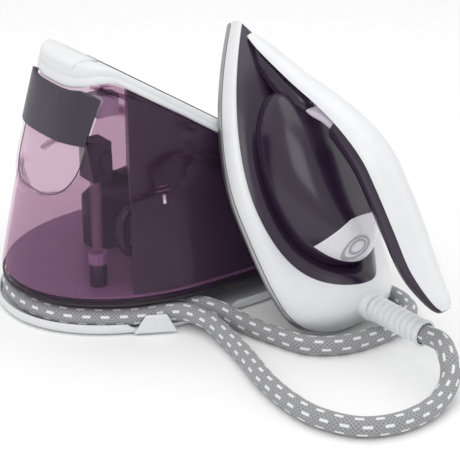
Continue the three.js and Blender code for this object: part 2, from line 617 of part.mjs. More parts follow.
// ---- steam hose ----
const LANE = 11.8;
const HUB_X = LOOP_CENTRE[0];
const STORED_ROUTE = [[96, -67.8, 13.4], [97, -88, 13.4], [109, -110, 12.5], [127, -136, 10], [137, -162, 7.6],
  [131, -185, 7.4], [107, -200, 7.4], [79, -204, 7.4], [51, -200, 7.4], [30, -186, 7.4], [20, -162, 7.4],
  [11, -134, 8.2], [2, -106, 12.6], [-12, -84, 13], [-38, -68.5, LANE], [-66, -57.6, LANE], [-89, -37, LANE],
  [-99, 0, LANE], [-89, 37, LANE], [-66, 57.6, LANE], [-30, 71, LANE], [8, 65, LANE], [35, 40, LANE],
  [57, 10, LANE], [HUB_X, -3, LANE], [HUB_X + 31, 10, LANE], [HUB_X + 44, 41, LANE], [HUB_X + 31, 72, LANE],
  [HUB_X, 85, LANE], [44, 86, LANE], [0, 85.8, LANE], [-40, 79.8, LANE], [-76.5, 65, LANE],
  [-102, 40.5, LANE], [-113, 0, LANE], [-102, -40.5, LANE], [-77, -65, LANE], [-66, -71.9, LANE],
  [-58, -76.5, LANE]];
const LOOP_ROUTE = [[-57.55, -76.76, LANE], [-49, -81.4, 12.2], [-38, -85.6, 12.8], [-22, -97, 13.2], [-14, -116, 11.5],
  [-14.5, -148, 7.7], [-21, -180.5, 7.4], [-28.5, -211, 7.4], [-32, -244, 7.4], [-29, -272, 7.4],
  [-14, -298, 7.4], [8, -309, 7.4], [34, -310, 7.6], [56, -304, 9], [70, -297, 14.5], [77, -289, 23],
  [80, -278, 31], [80, -262, 36], [79, -247, 36]];
add(station, 'hose_stored', tube(STORED_ROUTE, HOSE_RADIUS, HOSE_SIDES), 'hose');

// Brings the middle of the footprint, hose left out, to the origin.
const TO_CENTRE = [-17.55, 87.26, 0];

// ---- stand the iron against the rest ----
const lean = THREE.MathUtils.degToRad(IRON_LEAN);
const turn = THREE.MathUtils.degToRad(IRON_TURN);
const away = new THREE.Vector3(Math.cos(turn), Math.sin(turn), 0);
const up = new THREE.Vector3(0, 0, 1);
const alongSole = up.clone().multiplyScalar(Math.cos(lean)).addScaledVector(away, -Math.sin(lean));
const offSole = away.clone().multiplyScalar(Math.cos(lean)).addScaledVector(up, Math.sin(lean));
const acrossSole = new THREE.Vector3().crossVectors(offSole, alongSole);
const ironPlace = new THREE.Matrix4().makeBasis(alongSole, acrossSole, offSole);
ironPlace.setPosition(...IRON_HEEL);
iron.applyMatrix4(ironPlace);

const reliefOut = new THREE.Vector3(-Math.sin(THREE.MathUtils.degToRad(RELIEF_LEAN)), 0,
  Math.cos(THREE.MathUtils.degToRad(RELIEF_LEAN)));
const hoseAt = (along) => new THREE.Vector3(...RELIEF_BASE).addScaledVector(reliefOut, along)
  .applyMatrix4(ironPlace).toArray();
LOOP_ROUTE.splice(-2, 2, hoseAt(RELIEF_LENGTH + 16), hoseAt(RELIEF_LENGTH + 3),
  hoseAt(RELIEF_LENGTH - 10 + GAP));
add(station, 'hose_loop', tube(LOOP_ROUTE, HOSE_RADIUS, HOSE_SIDES), 'hose');

const group = new THREE.Group();
group.add(station, iron);
group.position.set(...TO_CENTRE);
group.updateMatrixWorld(true);
export default group;
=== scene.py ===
"""Steam generator iron: water station with a sloping rest, and the iron standing against it."""
import json
import math

import bmesh
import bpy
import numpy as np
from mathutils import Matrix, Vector


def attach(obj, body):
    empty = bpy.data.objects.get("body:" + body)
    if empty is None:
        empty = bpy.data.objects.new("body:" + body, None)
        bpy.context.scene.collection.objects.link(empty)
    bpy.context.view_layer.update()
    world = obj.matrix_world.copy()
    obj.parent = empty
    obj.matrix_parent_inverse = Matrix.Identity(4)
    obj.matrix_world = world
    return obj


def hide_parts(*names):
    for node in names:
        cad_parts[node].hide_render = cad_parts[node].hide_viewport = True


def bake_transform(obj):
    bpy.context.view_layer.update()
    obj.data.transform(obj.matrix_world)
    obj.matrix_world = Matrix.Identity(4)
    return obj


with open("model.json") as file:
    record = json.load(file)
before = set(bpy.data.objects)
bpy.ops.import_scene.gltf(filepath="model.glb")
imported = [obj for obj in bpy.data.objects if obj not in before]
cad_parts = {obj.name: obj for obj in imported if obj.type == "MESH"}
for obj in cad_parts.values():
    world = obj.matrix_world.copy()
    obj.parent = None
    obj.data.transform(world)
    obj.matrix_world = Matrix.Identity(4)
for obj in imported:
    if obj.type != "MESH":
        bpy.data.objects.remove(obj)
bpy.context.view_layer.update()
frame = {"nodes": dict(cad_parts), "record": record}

bl_info = {
    "name": "Steam Generator Iron",
    "version": (1, 0, 0),
    "blender": (4, 5, 0),
    "location": "View3D > Sidebar > Steam Iron",
    "description": "Builds the finished surfaces of a steam generator iron",
    "category": "Add Mesh",
}

PI = math.pi
CENTRE = np.array([-17.55, 87.26, 0.0])
TANK_BOTTOM = 23.5
WIDEST_AT = 113.5
DOME_TOP_U = 80.0
DOME_TOP = 67.0
SOLE_LENGTH = 258.6
SOLE_HALF_WIDTH = 62.2
NOSE_POWER = 1.74
SKIRT_FOOT = 7.0
DOOR_BOTTOM = 104.0
CAP_BOTTOM = 146.5
DOOR_REACH = 88.5
HINGE_X = -99.31
HINGE_Z = 103.7
RELIEF_BASE = np.array([7.7, 0.0, 41.6])
RELIEF_LEAN = math.radians(36)
RELIEF_LENGTH = 53.0
IRON_HEEL = np.array([79.6, -171.3, -0.4])
IRON_LEAN = math.radians(35.1)
IRON_TURN = math.radians(-86)


# ---- frames of reference, millimetres to the model's metres ----
def from_station(points):
    """Station millimetres to model metres: add the centring shift and divide by a thousand."""
    return (np.asarray(points, float) + CENTRE) / 1000.0


def iron_axes():
    """Directions along the sole, across it and off it, for an iron leaned back against the rest."""
    away = np.array([math.cos(IRON_TURN), math.sin(IRON_TURN), 0.0])
    up = np.array([0.0, 0.0, 1.0])
    along = up * math.cos(IRON_LEAN) - away * math.sin(IRON_LEAN)
    off = away * math.cos(IRON_LEAN) + up * math.sin(IRON_LEAN)
    return along, np.cross(off, along), off


ALONG, ACROSS, OFF = iron_axes()


def from_iron(points):
    """Iron millimetres (along, across, off the sole) to model metres: heel plus each share of an axis."""
    p = np.asarray(points, float)
    placed = p[..., :1] * ALONG + p[..., 1:2] * ACROSS + p[..., 2:3] * OFF
    return from_station(placed + IRON_HEEL)


def iron_point(u, w, n):
    return np.stack(np.broadcast_arrays(u, w, n), axis=-1)


# ---- outlines ----
def signed_power(value, power):
    return np.sign(value) * np.abs(value) ** power


def plan(angle, tank_end, hose_end, half_width, roundness):
    """Superellipse: the cosine and sine, each to the power 2 over the roundness, times the half sizes."""
    c, s = np.cos(angle), np.sin(angle)
    power = np.where(c < 0, 2 / roundness, 2 / 3.5)
    x = signed_power(c, power) * np.where(c < 0, tank_end, hose_end)
    return x, signed_power(s, power) * half_width * (1 + 0.00023 * x)


def tray(angle, inset):
    return plan(angle, 125.6 - inset, 150 - inset, 98 - inset, 2.05)


def body(angle, z, inset=0.0, reach=0.0):
    """Plan outline whose half sizes shrink in proportion to the height, squarer toward the top."""
    up = np.maximum(0, z - TANK_BOTTOM)
    tank_end = 120.0 - 0.285 * np.maximum(0, z - 30) - inset + reach
    return plan(angle, tank_end, 147 - 0.12 * up - inset, 95 - 0.225 * up - inset, 2.05 + 0.0072 * up)


def rest_top(x):
    past = np.maximum(0, -45 - x)
    return 172 - 0.63 * x - 0.02 * past ** 2


def rest_under(x):
    return rest_top(x) - 11 - 4 * np.clip((-50 - x) / 18, 0, 1)


def roof(x):
    return rest_under(x) - 1.2


def skin(angle, v, inset, low, height):
    """Point a share v of the way up from low to height(x) on the body: x and z settle by repetition."""
    z = np.full(np.broadcast(angle, v).shape, float(low))
    for _ in range(10):
        x, y = body(angle, z, inset)
        z = low + v * (height(x) - low)
    x, y = body(angle, z, inset)
    return np.stack([x, y, z], axis=-1)


def tank_end_x(y, z, inset=0.0):
    """X of the tank end at a given Y and Z: the superellipse solved for X."""
    up = np.maximum(0, z - TANK_BOTTOM)
    n = 2.05 + 0.0072 * up
    a = 120.0 - 0.285 * np.maximum(0, z - 30) - inset
    b = (95 - 0.225 * up - inset) * (1 - 0.00023 * 80)
    return -a * np.maximum(0, 1 - np.abs(y / b) ** n) ** (1 / n)


def front_y(x, z, inset=0.0):
    """Y of the near side at a given X and Z: the superellipse solved for Y."""
    up = np.maximum(0, z - TANK_BOTTOM)
    n = np.where(x < 0, 2.05 + 0.0072 * up, 3.5)
    a = np.where(x < 0, 120.0 - 0.285 * np.maximum(0, z - 30), 147 - 0.12 * up) - inset
    b = (95 - 0.225 * up - inset) * (1 + 0.00023 * x)
    return -b * np.maximum(0, 1 - np.abs(x / a) ** n) ** (1 / n)


def door_half_width(z, grow=0.0):
    """Half width of the U-shaped door at a height: nearly straight sides over a rounded bottom."""
    low = DOOR_BOTTOM - grow
    corner = 34.0
    t = np.clip((z - low) / corner, 0, 1)
    rounded = 11.5 + corner * (1 - (1 - np.sqrt(t)) ** 2)
    tip = 11.5 * np.sqrt(np.clip((z - low + 1.2) / 1.2, 0, 1))
    straight = 45.5 + 5 * np.clip((z - low - corner) / 92, 0, 1)
    width = np.where(z < low, tip, np.where(z < low + corner, rounded, straight))
    return width + np.where(width > 0, grow, 0)


def housing_wall(y, z):
    """X of the wall between water and machine: it runs back at a slant, with a rounded box over the pump."""
    slant = -60 + (y + 83) * 0.58
    box = -40 + 34 * (np.abs(y - 22) / 21) ** 4 + 60 * np.maximum(0, (z - 72) / 14) ** 2
    return np.minimum(slant, box)


def sole(angle, inset=0.0):
    c, s = np.cos(angle), np.sin(angle)
    side = np.where(s < 0, -1.0, 1.0)
    half = SOLE_HALF_WIDTH - inset
    ahead = np.maximum(c, 0)
    b = np.maximum(-c, 0)
    u_nose = WIDEST_AT + (SOLE_LENGTH - WIDEST_AT - 1.3 * inset) * ahead
    u_heel = WIDEST_AT - (WIDEST_AT - inset) * b
    w_nose = side * half * (1 - ahead ** NOSE_POWER)
    w_heel = side * half * (1 - 0.16 * b * b) * np.sqrt(np.maximum(0, 1 - b ** 9))
    return np.where(c >= 0, u_nose, u_heel), np.where(c >= 0, w_nose, w_heel)


def flange(angle):
    c, s = np.cos(angle), np.sin(angle)
    ahead = np.maximum(c, 0)
    u = np.where(c >= 0, WIDEST_AT + (252 - WIDEST_AT) * ahead, WIDEST_AT + (WIDEST_AT - 28) * c)
    w = np.where(c >= 0, np.sign(s) * 54 * (1 - ahead ** NOSE_POWER), 54 * s)
    return u, w, 19 + 26 * np.maximum(0, -c) ** 6


def dome_edge(angle, inset=0.0):
    c, s = np.cos(angle), np.sin(angle)
    reach = np.where(c >= 0, 192 - WIDEST_AT, WIDEST_AT - 44) - inset
    n = 22 + 8 * np.maximum(0, c) ** 3 + 14 * np.maximum(0, -c) ** 5
    return WIDEST_AT + reach * c, (41 - inset) * s, n


def skirt_surface(angle, v, wall):
    """Quarter-round from the sole's edge (v = 0) up to the flange line (v = 1)."""
    q = v * PI / 2
    low_u, low_w = sole(angle, 0.6 + wall)
    high_u, high_w, high_n = flange(angle)
    t = 1 - np.cos(q)
    n = SKIRT_FOOT + (high_n - SKIRT_FOOT - wall) * np.sin(q)
    return iron_point(low_u + (high_u - low_u) * t, low_w + (high_w - low_w) * t, n)


def ledge_surface(angle, v, wall):
    """Straight run from the flange line to the dome's edge, raised by half a sine."""
    fu, fw, fn = flange(angle)
    du, dw, dn = dome_edge(angle, -0.3)
    n = fn + (dn - fn) * v + 0.3 + 2 * np.sin(v * PI) - wall * np.minimum(1, 2 * v)
    return iron_point(fu + (du - fu) * v, fw + (dw - fw) * v, n)


def dome_surface(angle, v, wall):
    """Rises from the dome's edge to its top as powers of a sine, while closing in as a cosine's power."""
    eu, ew, en = dome_edge(angle, wall)
    t = v * PI / 2
    share = np.cos(t) ** 0.72
    n = en + (DOME_TOP - en - wall) * np.sin(t) ** 0.85
    return iron_point(DOME_TOP_U + (eu - DOME_TOP_U) * share, ew * share, n)


def on_dome(u, w, proud):
    """Height of the dome's surface over a plan point: its direction gives the edge, its share the rise."""
    a = np.linspace(-PI, PI, 1441)
    eu, ew, en = dome_edge(a)
    heading = np.unwrap(np.arctan2(ew, eu - DOME_TOP_U))
    radius = np.hypot(eu - DOME_TOP_U, ew)
    psi = np.arctan2(w, u - DOME_TOP_U)
    edge_r = np.interp(psi, heading, radius)
    edge_n = np.interp(psi, heading, en)
    share = np.clip(np.hypot(u - DOME_TOP_U, w) / edge_r, 0, 1)
    t = np.arccos(share ** (1 / 0.72))
    return iron_point(u, w, edge_n + (DOME_TOP - edge_n) * np.sin(t) ** 0.85 + proud)


def heel_cap():
    """Heel end of the dome: from its edge up each radial line to an arch drawn across the dome."""
    corner = math.acos((67 - WIDEST_AT) / (WIDEST_AT - 44))
    a = np.linspace(corner, 2 * PI - corner, 81)[None, :]
    eu, ew, en = dome_edge(a)
    top = np.full(a.shape, 0.5)
    for _ in range(40):
        w = np.abs(ew * top)
        arch = 76 - 2.5 * (w / 25) ** 2 - 6 * np.maximum(0, (w - 24) / 7) ** 2
        top = 0.5 * top + 0.5 * np.clip((DOME_TOP_U - arch) / (DOME_TOP_U - eu), 0.05, 0.995)
    k = np.linspace(0, 1, 28)[:, None]
    share = 1 - (1 - top) * k
    rise = np.sin(np.arccos(share ** (1 / 0.72))) ** 0.85
    proud = 0.55 * np.clip(np.minimum(k, 1 - k) / 0.04, 0.1, 1)
    return iron_point(DOME_TOP_U + (eu - DOME_TOP_U) * share, ew * share, en + (DOME_TOP - en) * rise + proud)


# ---- mesh making ----
def finish_mesh(name, vertices, faces, body_name, look, replaced=(), crease=40, closed=True, uv=None):
    """Mesh from arrays, doubles merged, normals outward, ridden on its body and given its finish."""
    mesh = bpy.data.meshes.new(name)
    mesh.from_pydata(np.asarray(vertices, float).reshape(-1, 3).tolist(), [], faces)
    if uv is not None:
        layer = mesh.uv_layers.new(name="UVMap")
        layer.data.foreach_set("uv", np.asarray(uv, float).ravel())
    work = bmesh.new()
    work.from_mesh(mesh)
    bmesh.ops.remove_doubles(work, verts=work.verts, dist=1e-6)
    bmesh.ops.dissolve_degenerate(work, dist=1e-7, edges=work.edges)
    if closed:
        bmesh.ops.recalc_face_normals(work, faces=work.faces)
    work.to_mesh(mesh)
    work.free()
    mesh.polygons.foreach_set("use_smooth", [True] * len(mesh.polygons))
    mesh.set_sharp_from_angle(angle=math.radians(crease))
    piece = bpy.data.objects.new(name, mesh)
    bpy.context.scene.collection.objects.link(piece)
    mesh.materials.append(look)
    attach(piece, body_name)
    if replaced:
        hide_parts(*replaced)
    return piece


def grid_faces(rows, columns, around=False, along=False):
    """Quads of a grid, each joining a point to the next in its row and in its column."""
    r = np.arange(rows if along else rows - 1)[:, None]
    c = np.arange(columns if around else columns - 1)[None, :]
    r2, c2 = (r + 1) % rows, (c + 1) % columns
    quads = np.stack([r * columns + c, r * columns + c2, r2 * columns + c2, r2 * columns + c], axis=-1)
    return quads.reshape(-1, 4).tolist()


def surface(name, points, body_name, look, replaced=(), around=False, along=False, crease=40, closed=True,
            thick=0.0):
    rows, columns = points.shape[:2]
    faces = grid_faces(rows, columns, around, along)
    piece = finish_mesh(name, points, faces, body_name, look, replaced, crease, closed)
    if thick:
        wall = piece.modifiers.new("Wall", "SOLIDIFY")
        wall.thickness = thick
        wall.offset = -1
    return piece


def ring_angles(count):
    return np.linspace(0, 2 * PI, count, endpoint=False)


def shell_points(surface_of, columns, steps, wall):
    """A shell's closed section: the outer surface from edge to pole, then the inner one back."""
    a = ring_angles(columns)[None, :]
    v = np.linspace(0, 1, steps + 1)[:, None]
    outer = surface_of(a, v, 0.0)
    inner = surface_of(a, v[::-1], wall)
    return np.concatenate([outer, inner], axis=0)


def capped(points):
    """Closes both ends of a tube of rings by shrinking each end ring to its middle."""
    first = np.repeat(points[:1].mean(axis=1, keepdims=True), points.shape[1], axis=1)
    last = np.repeat(points[-1:].mean(axis=1, keepdims=True), points.shape[1], axis=1)
    return np.concatenate([first, points, last], axis=0)


def turned(profile, sides=48):
    """Surface of revolution: each (radius, height) of the profile swept round the vertical."""
    p = np.asarray(profile, float)
    a = ring_angles(sides)[None, :]
    r, z = p[:, :1], p[:, 1:]
    return np.stack([r * np.cos(a), r * np.sin(a), np.broadcast_to(z, (len(p), sides))], axis=-1)


def smooth_path(points, count):
    """Cubic through the points, its slopes taken from the neighbours, resampled evenly by length."""
    p = np.asarray(points, float)
    knots = np.concatenate([[0], np.cumsum(np.sqrt(np.linalg.norm(np.diff(p, axis=0), axis=1)))])
    slope = np.gradient(p, knots, axis=0)
    t = np.linspace(0, knots[-1], 1600)
    k = np.clip(np.searchsorted(knots, t, side="right") - 1, 0, len(p) - 2)
    h = (knots[k + 1] - knots[k])[:, None]
    s = ((t - knots[k]) / h[:, 0])[:, None]
    curve = ((2 * s ** 3 - 3 * s ** 2 + 1) * p[k] + (s ** 3 - 2 * s ** 2 + s) * h * slope[k]
             + (3 * s ** 2 - 2 * s ** 3) * p[k + 1] + (s ** 3 - s ** 2) * h * slope[k + 1])
    length = np.concatenate([[0], np.cumsum(np.linalg.norm(np.diff(curve, axis=0), axis=1))])
    even = np.linspace(0, length[-1], count)
    return np.stack([np.interp(even, length, curve[:, i]) for i in range(p.shape[1])], axis=-1), length[-1]


# ---- shader helpers ----
class Sum:
    """A socket whose arithmetic adds Math nodes."""

    def __init__(self, look, socket):
        self.look = look
        self.socket = socket

    def _with(self, operation, other, swapped=False):
        a, b = (other, self) if swapped else (self, other)
        return self.look.math(operation, a, b)

    def __add__(self, other):
        return self._with("ADD", other)

    def __sub__(self, other):
        return self._with("SUBTRACT", other)

    def __mul__(self, other):
        return self._with("MULTIPLY", other)

    def __truediv__(self, other):
        return self._with("DIVIDE", other)

    def __radd__(self, other):
        return self._with("ADD", other, True)

    def __rsub__(self, other):
        return self._with("SUBTRACT", other, True)

    def __rmul__(self, other):
        return self._with("MULTIPLY", other, True)


class Look:
    """A material under construction: every node comes from node()."""

    def __init__(self, name, **constants):
        self.material = bpy.data.materials.new(name)
        self.material.use_nodes = True
        self.tree = self.material.node_tree
        self.shader = self.tree.nodes["Principled BSDF"]
        for socket, value in constants.items():
            self.shader.inputs[socket.replace("_", " ")].default_value = value

    def plug(self, socket, value):
        if isinstance(value, Sum):
            value = value.socket
        if isinstance(value, bpy.types.NodeSocket):
            self.tree.links.new(value, socket)
        elif value is not None:
            socket.default_value = value

    def node(self, kind, settings=None, inputs=None):
        made = self.tree.nodes.new(kind)
        for key, value in (settings or {}).items():
            if key == "stops":
                ramp = made.color_ramp
                while len(ramp.elements) < len(value):
                    ramp.elements.new(0.5)
                for element, (position, colour) in zip(ramp.elements, value):
                    element.position = position
                    element.color = colour
            else:
                setattr(made, key, value)
        for key, value in (inputs or {}).items():
            self.plug(made.inputs[key], value)
        return made

    def math(self, operation, a, b=None, clamp=False):
        made = self.node("ShaderNodeMath", {"operation": operation, "use_clamp": clamp}, {0: a, 1: b})
        return Sum(self, made.outputs[0])

    def blend(self, factor, a, b):
        made = self.node("ShaderNodeMix", {"data_type": "RGBA"}, {"Factor": factor, 6: a, 7: b})
        return made.outputs[2]

    def noise(self, scale, detail=3.0, source=None):
        made = self.node("ShaderNodeTexNoise", {}, {"Vector": source or self.place(), "Scale": scale,
                                                    "Detail": detail})
        return Sum(self, made.outputs["Fac"])

    def place(self):
        return self.node("ShaderNodeTexCoord").outputs["Object"]

    def axes(self, socket=None):
        made = self.node("ShaderNodeSeparateXYZ", {}, {0: socket or self.place()})
        return [Sum(self, made.outputs[i]) for i in range(3)]

    def ramp(self, value, low, high):
        made = self.node("ShaderNodeMapRange", {"interpolation_type": "SMOOTHSTEP"},
                         {"Value": value, "From Min": low, "From Max": high})
        return Sum(self, made.outputs[0])

    def surface(self, **links):
        for key, value in links.items():
            self.plug(self.shader.inputs[key.replace("_", " ")], value)

    def bump(self, height, strength, distance=0.001):
        made = self.node("ShaderNodeBump", {}, {"Height": height, "Strength": strength, "Distance": distance})
        self.plug(self.shader.inputs["Normal"], made.outputs[0])


def rgba(colour):
    return (colour[0], colour[1], colour[2], 1.0)


def moulded(name, colour, roughness, grain=0.15, coat=0.0, shade=0.9):
    """Moulded plastic: a fine cloudy change of tone and gloss, and a faint skin texture."""
    look = Look(name, Coat_Weight=coat, Coat_Roughness=0.06)
    cloud = look.noise(35.0, 4.0)
    dark = (colour[0] * shade, colour[1] * shade, colour[2] * shade, 1.0)
    look.surface(Base_Color=look.blend(look.ramp(cloud, 0.35, 0.65), dark, rgba(colour)),
                 Roughness=roughness + (look.noise(220.0, 3.0) - 0.5) * 0.12)
    look.bump(look.noise(1800.0, 2.0), grain, 0.0002)
    return look.material


def metal(name, colour, roughness, stretch=(1.0, 1.0, 1.0)):
    """Metal with fine scratches drawn out along one axis."""
    look = Look(name, Metallic=1.0)
    mapped = look.node("ShaderNodeMapping", {}, {"Vector": look.place(), "Scale": stretch}).outputs[0]
    scratch = look.noise(900.0, 4.0, mapped)
    look.surface(Base_Color=look.blend(look.ramp(scratch, 0.3, 0.7), rgba([c * 0.86 for c in colour]),
                                       rgba(colour)), Roughness=roughness + (scratch - 0.5) * 0.2)
    look.bump(scratch, 0.1, 0.0002)
    return look.material


def see_through(name, colour, tint, body_share):
    """Tinted clear plastic: a coloured transparent shader with a share of glossy plastic over it."""
    look = Look(name, Roughness=0.07, IOR=1.46, Coat_Weight=1.0, Coat_Roughness=0.03)
    look.surface(Base_Color=look.blend(look.noise(18.0, 2.0), rgba([c * 0.8 for c in colour]), rgba(colour)))
    clear = look.node("ShaderNodeBsdfTransparent", {}, {"Color": rgba(tint)})
    shaders = {0: body_share, 1: clear.outputs[0], 2: look.shader.outputs[0]}
    mixed = look.node("ShaderNodeMixShader", {}, shaders)
    look.plug(look.tree.nodes["Material Output"].inputs["Surface"], mixed.outputs[0])
    return look.material


def braided(name, colour, fleck):
    """Braided textile sleeve on a hose: crossing strands with painted shade in the grooves between them, and pale
    flecks in rows round it.
    """
    look = Look(name, Specular_IOR_Level=0.25, Sheen_Weight=0.25)
    uv = look.node("ShaderNodeTexCoord").outputs["UV"]
    round_, along, _ = look.axes(uv)
    left = look.math("SINE", (round_ * 14.0 + along * 330.0) * (2 * PI))
    right = look.math("SINE", (round_ * 14.0 - along * 330.0) * (2 * PI))
    weave = look.math("MAXIMUM", left, right)
    row = look.math("FRACT", round_ * 7.0)
    shift = look.math("FLOOR", round_ * 7.0) * 0.37
    step = look.math("FRACT", along * 72.0 + shift)
    across = 1 - look.ramp(look.math("ABSOLUTE", row - 0.5), 0.12, 0.2)
    length = 1 - look.ramp(look.math("ABSOLUTE", step - 0.5), 0.19, 0.25)
    mask = across * length
    # Between the strands, where the weave is low, the colour drops to 0.62 of itself: painted shade in the braid's
    # grooves.
    strands = look.ramp(weave, -0.4, 1.0)
    cloth_with_groove_shade = look.blend(strands, rgba([c * 0.62 for c in colour]), rgba(colour))
    look.surface(Base_Color=look.blend(mask, cloth_with_groove_shade, rgba(fleck)), Roughness=0.85 - mask * 0.2)
    look.bump(weave + mask * 0.6, 0.5, 0.0004)
    return look.material


LOOKS = {}


# ---- settings ----
class IronColours(bpy.types.PropertyGroup):
    """Colours of the moulded parts."""
    shell: bpy.props.FloatVectorProperty(name="Shell", description="White plastic of tray, rest and handle",
                                         subtype="COLOR", default=(0.74, 0.75, 0.77), min=0, max=1)
    body: bpy.props.FloatVectorProperty(name="Body", description="Dark glossy plastic of the iron's body",
                                        subtype="COLOR", default=(0.022, 0.011, 0.030), min=0, max=1)
    tank: bpy.props.FloatVectorProperty(name="Tank", description="Tinted clear plastic of the water tank",
                                        subtype="COLOR", default=(0.12, 0.075, 0.14), min=0, max=1)
    door: bpy.props.FloatVectorProperty(name="Door window", description="Pale clear plastic of the door",
                                        subtype="COLOR", default=(0.72, 0.55, 0.66), min=0, max=1)
    door_cap: bpy.props.FloatVectorProperty(name="Door cap", description="Dark plastic of the door's top",
                                            subtype="COLOR", default=(0.036, 0.026, 0.044), min=0, max=1)
    hose: bpy.props.FloatVectorProperty(name="Hose", description="Textile sleeve of the hose",
                                        subtype="COLOR", default=(0.36, 0.36, 0.375), min=0, max=1)
    trigger: bpy.props.FloatVectorProperty(name="Trigger", description="Lavender plastic of the trigger",
                                           subtype="COLOR", default=(0.62, 0.56, 0.66), min=0, max=1)


class IronSizes(bpy.types.PropertyGroup):
    """Sizes of the finishing details."""
    hose_diameter: bpy.props.FloatProperty(name="Hose", description="Diameter of the steam hose",
                                           default=0.0145, min=0.008, max=0.02, unit="LENGTH")
    tank_wall: bpy.props.FloatProperty(name="Tank wall", description="Thickness of the tank's wall",
                                       default=0.0024, min=0.001, max=0.004, unit="LENGTH")
    pad_height: bpy.props.FloatProperty(name="Pad height", description="How far the pads stand above the rest",
                                        default=0.0008, min=0.0, max=0.002, unit="LENGTH")


# ---- operators ----
class IRON_OT_finishes(bpy.types.Operator):
    """Makes every finish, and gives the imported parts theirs"""
    bl_idname = "iron.finishes"
    bl_label = "Finishes"

    def execute(self, context):
        c = context.scene.iron_colours
        LOOKS.update({
            "white": moulded("white_plastic", c.shell, 0.34, 0.05, 0.12, 0.97),
            "dark": moulded("dark_gloss_plastic", c.body, 0.24, 0.02, 0.15),
            "tank": see_through("tinted_tank", c.tank, (0.90, 0.80, 0.865), 0.12),
            "clear": see_through("clear_window", c.door, (0.97, 0.93, 0.95), 0.16),
            "cap": moulded("dark_cap_plastic", c.door_cap, 0.38, 0.04, 0.05),
            "black": moulded("black_plastic", (0.015, 0.014, 0.017), 0.5, 0.2),
            "rubber": moulded("rubber", (0.02, 0.02, 0.022), 0.8, 0.5),
            "grey": moulded("grey_plastic", (0.42, 0.42, 0.45), 0.5, 0.15),
            "silver": moulded("silver_plastic", (0.74, 0.73, 0.77), 0.28, 0.03, 0.3, 0.99),
            "steel": metal("brushed_steel", (0.68, 0.69, 0.71), 0.3, (1.0, 1.0, 12.0)),
            "cast": metal("cast_sole", (0.50, 0.50, 0.51), 0.38, (1.0, 10.0, 1.0)),
            "brass": metal("brass", (0.72, 0.55, 0.26), 0.35),
            "lavender": moulded("lavender_plastic", c.trigger, 0.35, 0.05, 0.2, 0.95),
            "green": moulded("board_laminate", (0.03, 0.16, 0.07), 0.5, 0.1),
            "hose": braided("braided_sleeve", c.hose, (0.80, 0.80, 0.82)),
            "housing": moulded("housing_plastic", (0.048, 0.038, 0.062), 0.4, 0.0),
            "mark": moulded("pale_print", (0.75, 0.72, 0.78), 0.5, 0.05),
            "well": moulded("tank_floor_plastic", (0.34, 0.23, 0.36), 0.35, 0.05, 0.3),
        })
        slots = {part["node"]: part["material_slot"] for part in frame["record"]["subparts"]}
        special = {"inner_housing": "housing", "tank_floor": "well", "door_cap": "cap",
                   "suction_coupling": "well"}
        for name, piece in frame["nodes"].items():
            look = LOOKS[special.get(name, slots[name])]
            if not piece.data.materials:
                piece.data.materials.append(look)
            for place in piece.material_slots:
                place.material = look
        return {"FINISHED"}


STORED_ROUTE = [
    (96, -67.8, 13.4), (97, -88, 13.4), (109, -110, 12.5), (127, -136, 10), (137, -162, 7.6), (131, -185, 7.4),
    (107, -200, 7.4), (79, -204, 7.4), (51, -200, 7.4), (30, -186, 7.4), (20, -162, 7.4), (11, -134, 8.2),
    (2, -106, 12.6), (-12, -84, 13), (-38, -68.5, 11.8), (-66, -57.6, 11.8), (-89, -37, 11.8), (-99, 0, 11.8),
    (-89, 37, 11.8), (-66, 57.6, 11.8), (-30, 71, 11.8), (8, 65, 11.8), (35, 40, 11.8), (57, 10, 11.8),
    (88, -3, 11.8), (119, 10, 11.8), (132, 41, 11.8), (119, 72, 11.8), (88, 85, 11.8), (44, 86, 11.8),
    (0, 85.8, 11.8), (-40, 79.8, 11.8), (-76.5, 65, 11.8), (-102, 40.5, 11.8), (-113, 0, 11.8),
    (-102, -40.5, 11.8), (-77, -65, 11.8), (-66, -71.9, 11.8), (-58, -76.5, 11.8)]
LOOP_ROUTE = [
    (-58, -76.5, 11.8), (-49, -81.4, 12.2), (-38, -85.6, 12.8), (-22, -97, 13.2), (-14, -116, 11.5),
    (-14.5, -148, 7.7), (-21, -180.5, 7.4), (-28.5, -211, 7.4), (-32, -244, 7.4), (-29, -272, 7.4),
    (-14, -298, 7.4), (8, -309, 7.4), (34, -310, 7.6), (56, -304, 9), (70, -297, 14.5), (77, -289, 23)]


def hose_tube(name, route, radius, replaced):
    """Tube round a path: each ring lies in the plane of the path's sideways and upward directions."""
    path, length = smooth_path(route, max(60, int(len(route) * 14)))
    tangent = np.gradient(path, axis=0)
    tangent /= np.linalg.norm(tangent, axis=1, keepdims=True)
    side = np.cross(tangent, [0, 0, 1.0])
    side /= np.linalg.norm(side, axis=1, keepdims=True)
    top = np.cross(side, tangent)
    columns = 28
    a = ring_angles(columns)[None, :, None]
    rings = path[:, None, :] + radius * (np.cos(a) * side[:, None, :] + np.sin(a) * top[:, None, :])
    points = capped(rings)
    rows = len(points)
    faces = grid_faces(rows, columns, around=True)
    along = np.concatenate([[0], np.linspace(0, length, rows - 2), [length]])
    r = np.repeat(np.arange(rows - 1), columns)
    c = np.tile(np.arange(columns), rows - 1)
    corners_r = np.stack([r, r, r + 1, r + 1], axis=-1)
    corners_c = np.stack([c, c + 1, c + 1, c], axis=-1)
    uv = np.stack([corners_c / columns, along[corners_r] / 1000.0], axis=-1)
    piece = finish_mesh(name, from_station(points), faces, "station", LOOKS["hose"], replaced, 60, uv=uv)
    return piece, from_station(path), length / 1000.0


